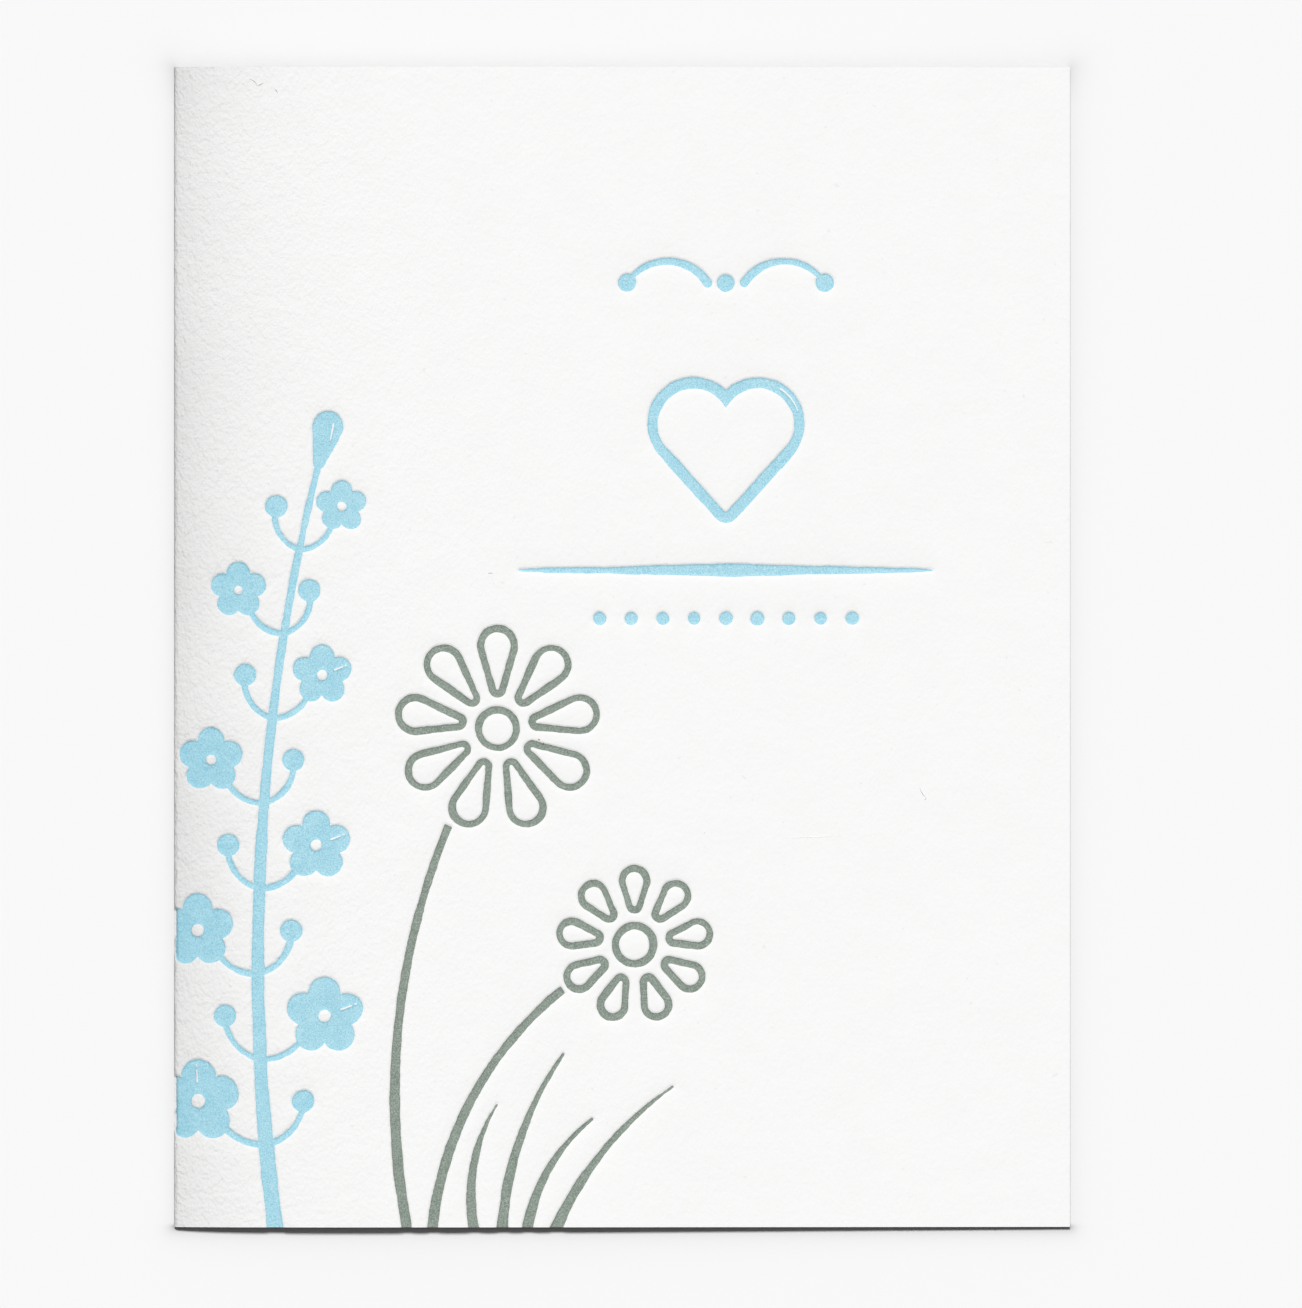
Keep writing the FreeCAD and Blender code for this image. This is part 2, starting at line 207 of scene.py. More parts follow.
BACK_EDGE_HEIGHTS = (0.0, 0.09, 0.2, 0.33, 0.45, STOCK)
PAPER_CREASE = 60  # edges sharper than this, in degrees, aren't smoothed
INK_CREASE = 50


# The cross section

fold_radius = FOLD_INNER_RADIUS + STOCK


def solve_spring():
    """The slope at the fold, in radians, with which the front panel ends on the free edge's height.

    The slope is made of a part that dies away close to the fold, a part that dies away over the panel
    and the constant fall to the free edge. The middle one is what this works out.
    """
    fall = math.radians(FALL_SLOPE)
    near = math.radians(FOLD_SPRING)
    free_z = 2 * STOCK + EDGE_GAP
    far = 0.1
    for _ in range(30):
        slope = near + far - fall
        start_u = fold_radius * (1 - math.sin(slope))
        start_z = fold_radius * (1 + math.cos(slope))
        run = PANEL_WIDTH - start_u
        near_rise = near * FOLD_EASE * (1 - math.exp(-run / FOLD_EASE))
        far = (free_z - start_z + fall * run - near_rise) / (PANEL_EASE * (1 - math.exp(-run / PANEL_EASE)))
    return near, far, near + far - fall, start_u, start_z


near_spring, far_spring, spring, front_start, front_start_z = solve_spring()
print_start = front_start - fold_radius * (math.pi / 2 - spring)  # the print ends in the middle of the fold


def panel_height(u):
    """The height of the front panel's face, and its slope in radians, at a distance from the fold."""
    fall = math.radians(FALL_SLOPE)
    along = np.asarray(u, dtype=float) - front_start
    near_decay = np.exp(-along / FOLD_EASE)
    far_decay = np.exp(-along / PANEL_EASE)
    height = front_start_z - fall * along
    height = height + near_spring * FOLD_EASE * (1 - near_decay) + far_spring * PANEL_EASE * (1 - far_decay)
    return height, near_spring * near_decay + far_spring * far_decay - fall


# Signed distances to the print, negative in the ink

PITCH = 0.1
columns = int(round((PANEL_WIDTH - print_start) / PITCH)) + 1
rows = int(round(PANEL_HEIGHT / PITCH)) + 1
u_axis = np.linspace(print_start, PANEL_WIDTH, columns)
v_axis = np.linspace(0.0, PANEL_HEIGHT, rows)
u_grid, v_grid = np.meshgrid(u_axis, v_axis, indexing="ij")
FAR = 6.0
REACH = 2.2  # how far around a shape its distance is worked out


def polar(place, distance, degrees):
    turn = math.radians(degrees)
    return (place[0] + distance * math.cos(turn), place[1] + distance * math.sin(turn))


def direction(start, end):
    return math.degrees(math.atan2(end[1] - start[1], end[0] - start[0]))


class Print:
    """The distance to the shapes of one ink colour, kept on a grid over the front panel."""

    def __init__(self):
        self.field = np.full((columns, rows), FAR)
        self.streaks = []

    def change(self, shape, combined):
        """Works a shape into the field, as far around it as REACH."""
        distance, low, high = shape
        part = tuple(slice(*np.searchsorted(axis, (start - REACH, end + REACH)))
                     for axis, start, end in zip((u_axis, v_axis), low, high))
        near = self.field[part]
        if near.size:
            self.field[part] = combined(near, distance(u_grid[part], v_grid[part]))

    def add(self, shape):
        self.change(shape, np.minimum)

    def scratch(self, shape):
        """Leaves the shape bare."""
        self.change(shape, lambda near, distance: np.maximum(near, -distance))


def box_of(places, margin):
    across, up = zip(*places)
    return (min(across) - margin, min(up) - margin), (max(across) + margin, max(up) + margin)


def disc(place, radius):
    def distance(u, v):
        return np.hypot(u - place[0], v - place[1]) - radius
    return (distance, *box_of([place], radius))


def capsule(start, start_radius, end, end_radius):
    length = math.dist(start, end)
    lean = (start_radius - end_radius) / length
    side = math.sqrt(1 - lean * lean)
    ahead = ((end[0] - start[0]) / length, (end[1] - start[1]) / length)

    def distance(u, v):
        along = (u - start[0]) * ahead[0] + (v - start[1]) * ahead[1]
        off = np.abs((v - start[1]) * ahead[0] - (u - start[0]) * ahead[1])
        place = along * side - off * lean
        at_start = np.hypot(along, off) - start_radius
        at_end = np.hypot(along - length, off) - end_radius
        between = off * side + along * lean - start_radius
        return np.where(place < 0, at_start, np.where(place > side * length, at_end, between))
    return (distance, *box_of([start, end], max(start_radius, end_radius)))


class Bow:
    """A circular arc from start to end that swells to the left by bow."""

    def __init__(self, start, end, bow):
        chord = math.dist(start, end)
        middle = ((start[0] + end[0]) / 2, (start[1] + end[1]) / 2)
        self.along = direction(start, end)
        self.radius = (chord * chord / 4 + bow * bow) / (2 * bow)
        self.centre = polar(middle, bow - self.radius, self.along + 90)
        self.half_turn = math.degrees(2 * math.atan(2 * bow / chord))

    def place(self, share):
        degrees = self.along + 90 + self.half_turn * (1 - 2 * share)
        return polar(self.centre, self.radius, degrees)

    def heading(self, share):
        return self.along + self.half_turn * (1 - 2 * share)


def stroke(start, end, bow, start_width, end_width):
    line = Bow(start, end, bow)
    sign = 1 if line.radius > 0 else -1
    middle = math.radians(line.along + 90)
    half_turn = math.radians(line.half_turn)

    def distance(u, v):
        across = (u - line.centre[0]) * sign
        up = (v - line.centre[1]) * sign
        turn = np.arctan2(up, across) - middle
        turn = (turn + math.pi) % (2 * math.pi) - math.pi
        share = np.clip((1 - turn / half_turn) / 2, 0, 1)
        angle = middle + half_turn * (1 - 2 * share)
        near_u = line.centre[0] + line.radius * np.cos(angle)
        near_v = line.centre[1] + line.radius * np.sin(angle)
        half_width = (start_width + share * (end_width - start_width)) / 2
        return np.hypot(u - near_u, v - near_v) - half_width
    places = [line.place(share / 8) for share in range(9)]
    return (distance, *box_of(places, max(start_width, end_width)))


def without(outer, inner):
    """The first shape with the second taken out of it."""
    def distance(u, v):
        return np.maximum(outer[0](u, v), -inner[0](u, v))
    return (distance, outer[1], outer[2])


def blossom(ink, place, radius):
    petal_radius = PETAL_SHARE * radius
    ink.add(without(disc(place, CUP_SHARE * radius), disc(place, EYE_SHARE * radius)))
    for petal in range(BLOSSOM_PETALS):
        turn = 90 + petal * 360 / BLOSSOM_PETALS
        ink.add(disc(polar(place, radius - petal_radius, turn), petal_radius))


def draw_spray(ink):
    foot = (SPRAY_FOOT_U, -OVERRUN)
    tip = (SPRAY_TIP_U, SPRAY_HEIGHT)
    stem = Bow(foot, tip, SPRAY_BOW)
    length = math.dist(foot, tip)
    pitch = (length - OVERRUN - BARE_FOOT - BARE_TIP) / (SPRAY_BLOSSOMS - 1)
    ink.add(stroke(foot, tip, SPRAY_BOW, SPRAY_FOOT_WIDTH, SPRAY_TIP_WIDTH))
    for index in range(SPRAY_BLOSSOMS):
        side = 1 if index % 2 else -1
        size = 1 - index / (SPRAY_BLOSSOMS - 1) * (1 - TOP_BLOSSOM_RADIUS / BOTTOM_BLOSSOM_RADIUS)
        joint = stem.place((OVERRUN + BARE_FOOT + index * pitch) / length)
        head = (joint[0] + side * STALK_REACH * size, joint[1] + STALK_RISE)
        radius = BOTTOM_BLOSSOM_RADIUS * size
        stalk_end = polar(head, STALK_SHARE * radius, direction(head, joint))
        ink.add(stroke(joint, stalk_end, -side * STALK_BOW, STALK_WIDTH, STALK_WIDTH))
        blossom(ink, head, radius)
        if index in STREAK_BLOSSOMS:
            turn = STREAK_TURN - 360 / BLOSSOM_PETALS * (index % 2)
            for near, far in STREAK_SPANS:
                start = polar(head, near * radius, turn)
                end = polar(head, far * radius, turn)
                ink.streaks.append(capsule(start, STREAK_WIDTH / 2, end, STREAK_WIDTH / 3))
        bud = (joint[0] - side * BUD_REACH * size, joint[1] + STALK_RISE)
        ink.add(stroke(joint, bud, side * STALK_BOW, STALK_WIDTH, STALK_WIDTH))
        ink.add(disc(bud, BUD_RADIUS))
    tip_bud = polar(tip, TIP_BUD_LENGTH, stem.heading(1))
    ink.add(capsule(tip, SPRAY_TIP_WIDTH, tip_bud, TIP_BUD_RADIUS))
    streak_start = polar(tip_bud, TIP_STREAK_START * TIP_BUD_RADIUS, stem.heading(1) + TIP_STREAK_SIDE)
    streak_end = polar(streak_start, TIP_STREAK_LENGTH * TIP_BUD_RADIUS, stem.heading(1) + TIP_STREAK_TURN)
    ink.streaks.append(capsule(streak_start, STREAK_WIDTH / 2, streak_end, STREAK_WIDTH / 4))


def draw_flower(ink, place, radius, petal_radius):
    root_radius = PETAL_ROOT_RADIUS + LINE_WIDTH
    root_distance = FLOWER_EYE_RADIUS + PETAL_GAP + root_radius
    ink.add(without(disc(place, FLOWER_EYE_RADIUS), disc(place, FLOWER_EYE_RADIUS - LINE_WIDTH)))
    for petal in range(FLOWER_PETALS):
        turn = 90 + petal * 360 / FLOWER_PETALS
        root = polar(place, root_distance, turn)
        tip = polar(place, radius - petal_radius, turn)
        outside = capsule(root, root_radius, tip, petal_radius)
        inside = capsule(root, PETAL_ROOT_RADIUS, tip, petal_radius - LINE_WIDTH)
        ink.add(without(outside, inside))


def draw_flowers(ink):
    flowers = (
        (BIG_FLOWER, BIG_FLOWER_RADIUS, BIG_PETAL_RADIUS, BIG_STEM_FOOT_U),
        (SMALL_FLOWER, SMALL_FLOWER_RADIUS, SMALL_PETAL_RADIUS, SMALL_STEM_FOOT_U),
    )
    for place, radius, petal_radius, foot_u in flowers:
        draw_flower(ink, place, radius, petal_radius)
        to_eye = stroke((foot_u, -OVERRUN), place, FLOWER_STEM_BOW, FLOWER_STEM_WIDTH, LINE_WIDTH)
        ink.add(without(to_eye, disc(place, radius + FLOWER_STEM_GAP)))
    for index in range(BLADES):
        share = index / (BLADES - 1)
        foot = (BLADE_FOOT_U + index * BLADE_PITCH, -OVERRUN)
        lean = FIRST_BLADE_ANGLE + share * (LAST_BLADE_ANGLE - FIRST_BLADE_ANGLE)
        length = LONG_BLADE if index % 2 else SHORT_BLADE
        tip = polar(foot, length + OVERRUN, lean)
        ink.add(stroke(foot, tip, BLADE_BOW, BLADE_WIDTH, BLADE_TIP_WIDTH))


def heart_area(place, spread, radius, tip, tip_radius):
    left = capsule((place[0] - spread, place[1]), radius, tip, tip_radius)
    right = capsule((place[0] + spread, place[1]), radius, tip, tip_radius)

    def distance(u, v):
        return np.minimum(left[0](u, v), right[0](u, v))
    return (distance, left[1], right[2])


def draw_ornament(ink):
    middle = PANEL_WIDTH - ORNAMENT_FROM_EDGE
    level = PANEL_HEIGHT - ORNAMENT_FROM_TOP
    outer_radius = (HEART_WIDTH / 2 + LOBE_SPREAD * HEART_LINE) / (1 + LOBE_SPREAD)
    inner_radius = outer_radius - HEART_LINE
    spread = LOBE_SPREAD * inner_radius
    tip_radius = HEART_TIP_RADIUS + HEART_LINE
    tip = (middle, level + outer_radius - HEART_HEIGHT + tip_radius)
    outside = heart_area((middle, level), spread, outer_radius, tip, tip_radius)
    inside = heart_area((middle, level), spread, inner_radius, tip, HEART_TIP_RADIUS)
    ink.add(without(outside, inside))
    lobe = (middle + spread, level)
    lobe_line = outer_radius - HEART_STREAK_INSET * HEART_LINE
    bulge = lobe_line * (1 - math.cos(math.radians(HEART_STREAK_START - HEART_STREAK_END) / 2))
    lobe_ends = [polar(lobe, lobe_line, degrees) for degrees in (HEART_STREAK_START, HEART_STREAK_END)]
    ink.streaks.append(stroke(*lobe_ends, bulge, STREAK_WIDTH, STREAK_WIDTH / 2))
    crown = (middle, level + CROWN_RISE)
    rule = (middle, level - RULE_DROP)
    ink.add(disc(crown, CROWN_LINE))
    for side in (-1, 1):
        curl_start = (middle + side * 2 * CROWN_LINE, crown[1])
        curl_end = (middle + side * (CROWN_WIDTH / 2 - CROWN_LINE), crown[1])
        ink.add(stroke(curl_start, curl_end, side * CROWN_BOW, CROWN_LINE, CROWN_LINE / 2))
        ink.add(disc(curl_end, CROWN_LINE))
        rule_end = (middle + side * (RULE_WIDTH - RULE_TIP) / 2, rule[1])
        ink.add(capsule(rule, RULE_SWELL / 2, rule_end, RULE_TIP / 2))
    pitch = (ROW_WIDTH - 2 * DOT_RADIUS) / (ROW_DOTS - 1)
    for index in range(ROW_DOTS):
        dot = middle + (index - (ROW_DOTS - 1) / 2) * pitch
        ink.add(disc((dot, level - ROW_DROP), DOT_RADIUS))


def eased(share):
    return share * share * (3 - 2 * share)


def in_cell(corner, share_u, share_v):
    """The value inside a cell of a grid, from a function that gives its four corners."""
    low = corner(0, 0) * (1 - share_u) + corner(1, 0) * share_u
    high = corner(0, 1) * (1 - share_u) + corner(1, 1) * share_u
    return low * (1 - share_v) + high * share_v


def soft_noise(u, v, size, seed):
    """Smooth noise between -1 and 1, with humps of about that size."""
    table = np.random.default_rng(seed).uniform(-1, 1, (NOISE_CELLS, NOISE_CELLS))
    across = np.asarray(u) / size + NOISE_SHIFT[0]
    up = np.asarray(v) / size + NOISE_SHIFT[1]
    column = np.floor(across).astype(int)
    row = np.floor(up).astype(int)

    def corner(i, j):
        return table[(column + i) % NOISE_CELLS, (row + j) % NOISE_CELLS]
    return in_cell(corner, eased(across - column), eased(up - row))


def layered_noise(u, v, layers):
    return sum(height * soft_noise(u, v, size, seed) for height, size, seed in layers)


blue = Print()
draw_spray(blue)
draw_ornament(blue)
green = Print()
draw_flowers(green)
hand = layered_noise(u_grid, v_grid, HAND_WOBBLE)
blue.field += hand
for shape in blue.streaks:
    blue.scratch(shape)
green.field += hand
green.field = np.maximum(green.field, INK_GAP - blue.field)
pressed = np.minimum(blue.field, green.field)


def sample(field, u, v):
    """The field at places between the grid's points."""
    across = (np.asarray(u) - u_axis[0]) / (u_axis[1] - u_axis[0])
    up = np.asarray(v) / (v_axis[1] - v_axis[0])
    column = np.clip(np.floor(across).astype(int), 0, columns - 2)
    row = np.clip(np.floor(up).astype(int), 0, rows - 2)
    share_u = np.clip(across - column, 0, 1)
    share_v = np.clip(up - row, 0, 1)
    return in_cell(lambda i, j: field[column + i, row + j], share_u, share_v)


def contours(field, level):
    """The lines along which the field has this level, as runs of (u, v) places."""
    inside = field < level
    mixed = inside[:-1, :-1].astype(int) + inside[1:, :-1] + inside[:-1, 1:] + inside[1:, 1:]
    cells = np.argwhere((mixed > 0) & (mixed < 4))
    links = {}

    def link(first, second):
        links.setdefault(first, []).append(second)
        links.setdefault(second, []).append(first)

    def far_end(kind, i, j):
        return (i + 1 - kind, j + kind)

    for i, j in cells.tolist():
        edges = ((0, i, j), (1, i + 1, j), (0, i, j + 1), (1, i, j))
        crossed = [edge for edge in edges if inside[edge[1:]] != inside[far_end(*edge)]]
        if len(crossed) == 4 and (field[i:i + 2, j:j + 2].mean() < level) != inside[i, j]:
            crossed = [crossed[0], crossed[3], crossed[1], crossed[2]]
        for first, second in zip(crossed[::2], crossed[1::2]):
            link(first, second)

    def place(edge):
        i, j = edge[1:]
        far = far_end(*edge)
        share = (level - field[i, j]) / (field[far] - field[i, j])
        u = u_axis[i] + share * (u_axis[far[0]] - u_axis[i])
        return (u, v_axis[j] + share * (v_axis[far[1]] - v_axis[j]))

    runs = []
    open_ends = [edge for edge, near in links.items() if len(near) == 1]
    seen = set()
    for start in open_ends + list(links):
        if start in seen:
            continue
        chain = [start]
        seen.add(start)
        step = start
        while True:
            onward = [edge for edge in links[step] if edge not in seen]
            if not onward:
                break
            step = onward[0]
            seen.add(step)
            chain.append(step)
        closed = len(chain) > 3 and chain[0] in links[chain[-1]]
        runs.append((np.array([place(edge) for edge in chain]), closed))
    return runs


def respaced(run, closed, spacing):
    if closed:
        run = np.vstack([run, run[:1]])
    lengths = np.hypot(*np.diff(run, axis=0).T)
    total = np.concatenate([[0], np.cumsum(lengths)])
    count = int(max(4 if closed else 2, round(total[-1] / spacing)))
    marks = np.linspace(0, total[-1], count + 1)
    places = np.column_stack([np.interp(marks, total, along) for along in run.T])
    return places[:-1] if closed else places


class Plan:
    """Places and lines that the flat mesh of the front panel goes through."""

    def __init__(self):
        self.places = []
        self.lines = []

    def add_run(self, places, closed):
        start = len(self.places)
        last = start + len(places) - 1
        self.places.extend(map(tuple, places))
        self.lines.extend((index, index + 1) for index in range(start, last))
        if closed:
            self.lines.append((last, start))


def long_runs(level):
    return [(run, closed) for run, closed in contours(pressed, level) if len(run) > SHORT_RUN]


def plan_front():
    plan = Plan()
    for level, spacing in PRESSED_LINES:
        for run, closed in long_runs(level):
            plan.add_run(respaced(run, closed, spacing), closed)
    for level, spacing in PRESSED_PLACES:
        for run, closed in long_runs(level):
            plan.places.extend(map(tuple, respaced(run, closed, spacing)))
    around = np.linspace(print_start, front_start, FRONT_FOLD_STEPS + 1)
    across = np.concatenate([around[:-1], np.linspace(front_start, PANEL_WIDTH, BORDER_COLUMNS)])
    upward = np.linspace(0, PANEL_HEIGHT, BORDER_ROWS)
    plan.places.extend((u, v) for u in across for v in (0.0, PANEL_HEIGHT))
    plan.places.extend((u, v) for u in (print_start, PANEL_WIDTH) for v in upward[1:-1])
    fold_vs = np.arange(FOLD_ROW_START, PANEL_HEIGHT, FOLD_ROW_PITCH)
    plan.places.extend((u, v) for u in around[1:] for v in fold_vs
                       if abs(sample(pressed, u, v)) > FOLD_ROW_CLEARANCE)
    ease = np.linspace(front_start + EASE_START, EASE_END, EASE_COLUMNS)
    cells_u = np.concatenate([ease, np.arange(PLAIN_START, PANEL_WIDTH - 1, PLAIN_PITCH)])
    for number, v in enumerate(np.arange(1.2, PANEL_HEIGHT - 0.8, PLAIN_PITCH)):
        for u in cells_u:
            shifted = u + (PLAIN_PITCH / 2 if number % 2 and EASE_END < u < PANEL_WIDTH - 3 else 0)
            if sample(pressed, shifted, v) > PLAIN_CLEARANCE:
                plan.places.append((float(shifted), float(v)))
    return plan


def press_depth(distance):
    """How far below the paper's face the paper lies, at a distance from the print."""
    shoulder = IMPRESSION * PILLOW_SHARE
    wall = eased(np.clip((distance + WALL_INSIDE) / (WALL_INSIDE + WALL_OUTSIDE), 0, 1))
    slack = np.clip((distance - WALL_OUTSIDE) / (PILLOW - WALL_OUTSIDE), 0, 1)
    crown = FLOOR_CROWN * (1 - np.exp(np.minimum(distance + WALL_INSIDE, 0) / FLOOR_CROWN_REACH))
    return np.where(distance < WALL_OUTSIDE, IMPRESSION - crown + (shoulder - IMPRESSION) * wall,
                    shoulder * (1 - slack) ** 2)


def front_place(u, v, depth):
    """The points at a depth under the card's outer face, in metres, as an array of rows.

    From front_start on they lie under the front panel, and before it round the front half of the fold.
    """
    u = np.asarray(u, dtype=float)
    v = np.asarray(v, dtype=float)
    on_panel = np.maximum(u, front_start)
    height, slope = panel_height(on_panel)
    cockle = layered_noise(on_panel, v, COCKLE)
    hold = np.clip(on_panel / COCKLE_HOLD, 0, 1) * np.clip((PANEL_WIDTH - on_panel) / COCKLE_HOLD, 0, 1)
    turn = math.pi / 2 + spring + (front_start - u) / fold_radius
    round_x = fold_radius + (fold_radius - depth) * np.cos(turn)
    round_z = fold_radius + (fold_radius - depth) * np.sin(turn)
    x = np.where(u < front_start, round_x, on_panel + np.sin(slope) * depth)
    z = np.where(u < front_start, round_z, height + cockle * hold - np.cos(slope) * depth)
    return np.column_stack([x - PANEL_WIDTH / 2, v - PANEL_HEIGHT / 2, z]) * MM


def score_bead(turn):
    """The height of the score's ridge inside the fold, at an angle in degrees from its middle."""
    return SCORE_BEAD_RADIUS * np.exp(-(turn / SCORE_BEAD_SPREAD) ** 2)


def inner_place(u, v):
    """The points of the front half's inner face, with its side of the score's ridge."""
    past_fold = np.degrees((np.asarray(u, dtype=float) - print_start) / fold_radius)
    return front_place(u, v, STOCK + score_bead(past_fold))


# The paper's mesh

class Sheet:
    """Vertices and faces of the paper. Each border is kept so that the next face can join on to it."""

    def __init__(self):
        self.points = []
        self.faces = []

    def add_points(self, points):
        start = len(self.points)
        self.points.extend(map(tuple, points))
        return list(range(start, len(self.points)))

    def bridge_rows(self, rows_of_points, turned):
        """Quads between rows that follow each other and have as many points each."""
        for first, second in zip(rows_of_points, rows_of_points[1:]):
            if turned:
                first, second = second, first
            for index in range(len(first) - 1):
                self.faces.append((first[index], first[index + 1], second[index + 1], second[index]))

    def fill(self, border, inner, to_point, turned):
        """A face across a closed border. The border is a list of (vertex, place)."""
        places = [Vector(place) for _, place in border] + [Vector(place) for place in inner]
        lines = [(index, (index + 1) % len(border)) for index in range(len(border))]
        found, _, triangles, origins, _, _ = delaunay_2d_cdt(places, lines, [], 1, 1e-6)
        number = []
        for place, source in zip(found, origins):
            source = [index for index in source if index < len(border)]
            if source:
                number.append(border[source[0]][0])
            else:
                number.append(self.add_points([to_point(place)])[0])
        for triangle in triangles:
            face = tuple(number[index] for index in triangle)
            self.faces.append(face[::-1] if turned else face)


def rough_edge(values, seed):
    return ROUGHNESS * soft_noise(values, values * 0 + seed, ROUGHNESS_SIZE, seed)


def build_front(sheet):
    plan = plan_front()
    places = [Vector(place) for place in plan.places]
    found, _, triangles, _, _, _ = delaunay_2d_cdt(places, plan.lines, [], 0, 1e-5)
    flat = np.array([(place.x, place.y) for place in found])
    depth = press_depth(sample(pressed, flat[:, 0], flat[:, 1]))
    ids = sheet.add_points(front_place(flat[:, 0], flat[:, 1], depth))
    sheet.faces.extend(tuple(ids[index] for index in triangle) for triangle in triangles)
    return {"flat": flat, "triangles": triangles, "ids": ids, "depth": depth}


def border_of(front, axis, value):
    """The vertices on one straight border of the front panel, in order along it."""
    flat = front["flat"]
    on_border = np.nonzero(np.abs(flat[:, axis] - value) < 1e-4)[0]
    return on_border[np.argsort(flat[on_border, 1 - axis])]


def section_row(sheet, radius, degrees, levels):
    turn = math.radians(degrees)
    x = fold_radius + radius * math.cos(turn) - PANEL_WIDTH / 2
    z = fold_radius + radius * math.sin(turn)
    return sheet.add_points([(x * MM, (v - PANEL_HEIGHT / 2) * MM, z * MM) for v in levels])


def share_corners(right_rows, bottom_rows, top_rows):
    for right_row, bottom_row, top_row in zip(right_rows, bottom_rows, top_rows):
        right_row[0] = bottom_row[-1]
        right_row[-1] = top_row[-1]


def loop_of(bottom, right, top, left):
    """The closed border of a face. Each side is (vertices, places), from the bottom left outward."""
    bottom, right, top, left = (list(zip(*side)) for side in (bottom, right, top, left))
    return bottom + right[1:] + top[-2::-1] + left[-2:0:-1]


def build_fold(sheet, front, left):
    """The back half of the fold. Gives its outer and inner rows, from its middle to the back panel."""
    levels = front["flat"][left, 1]
    outer_rows = [[front["ids"][index] for index in left]]
    inner_rows = []
    for step in range(BACK_FOLD_STEPS + 1):
        turn = step / BACK_FOLD_STEPS * 90
        inner_rows.append(section_row(sheet, FOLD_INNER_RADIUS - score_bead(turn), 180 + turn, levels))
        if step > 0:
            outer_rows.append(section_row(sheet, fold_radius, 180 + turn, levels))
    sheet.bridge_rows(outer_rows, False)
    sheet.bridge_rows(inner_rows, True)
    return outer_rows, inner_rows


def front_edge(sheet, front, border, outward, seed):
    """Rows of a cut edge of the front panel, from the outer face down to the inner face."""
    u, v = front["flat"][border].T
    rows_of_edge = [[front["ids"][index] for index in border]]
    for number, depth in enumerate(FRONT_EDGE_DEPTHS):
        rough = rough_edge(u if outward[0] == 0 else v, seed + number)
        lowest = np.maximum(depth, front["depth"][border] + FRONT_EDGE_MARGIN)
        points = front_place(u + outward[0] * rough, v + outward[1] * rough, lowest)
        rows_of_edge.append(sheet.add_points(points))
    return rows_of_edge


def build_front_inside(sheet, front, left, fold_row):
    """The front panel's cut edges and inner face. Gives the rows of the bottom and top edges."""
    flat = front["flat"]
    borders = [border_of(front, 1, 0.0), border_of(front, 1, PANEL_HEIGHT), border_of(front, 0, PANEL_WIDTH)]
    edges = [front_edge(sheet, front, border, outward, seed)
             for border, outward, seed in zip(borders, ((0, -1), (0, 1), (1, 0)), FRONT_EDGE_SEEDS)]
    for border, rows_of_edge in zip(borders, edges):
        rows_of_edge.append(sheet.add_points(inner_place(flat[border, 0], flat[border, 1])))
    bottom_rows, top_rows, right_rows = edges
    share_corners(right_rows, bottom_rows, top_rows)
    bottom_rows[-1][0] = fold_row[0]
    top_rows[-1][0] = fold_row[-1]
    for rows_of_edge, turned in ((bottom_rows, True), (top_rows, False), (right_rows, True)):
        sheet.bridge_rows(rows_of_edge, turned)
    bottom, top, right = [(rows_of_edge[-1], flat[border]) for rows_of_edge, border in zip(edges, borders)]
    around = np.linspace(print_start, front_start + INNER_FOLD_MARGIN, FRONT_FOLD_STEPS + 1)[1:]
    inner_us = np.concatenate([around, np.arange(*INNER_EASE_US), np.arange(*INNER_US)])
    inner_places = [(u, v) for u in inner_us for v in np.arange(*INNER_VS)]
    sheet.fill(loop_of(bottom, right, top, (fold_row, flat[left])), inner_places,
               lambda place: inner_place(np.array([place.x]), np.array([place.y]))[0], True)
    return bottom_rows, top_rows


def back_point(u, v, z):
    return ((u - PANEL_WIDTH / 2) * MM, (v - PANEL_HEIGHT / 2) * MM, z * MM)


def back_edge(sheet, us, vs, outward, seed):
    """Rows of a cut edge of the back panel, from the outer face up to the inner face."""
    along = us if outward[0] == 0 else vs
    rows_of_edge = []
    for number, z in enumerate(BACK_EDGE_HEIGHTS):
        rough = rough_edge(along, seed + number) if 0 < number < len(BACK_EDGE_HEIGHTS) - 1 else along * 0
        points = [back_point(u + outward[0] * r, v + outward[1] * r, z) for u, v, r in zip(us, vs, rough)]
        rows_of_edge.append(sheet.add_points(points))
    return rows_of_edge


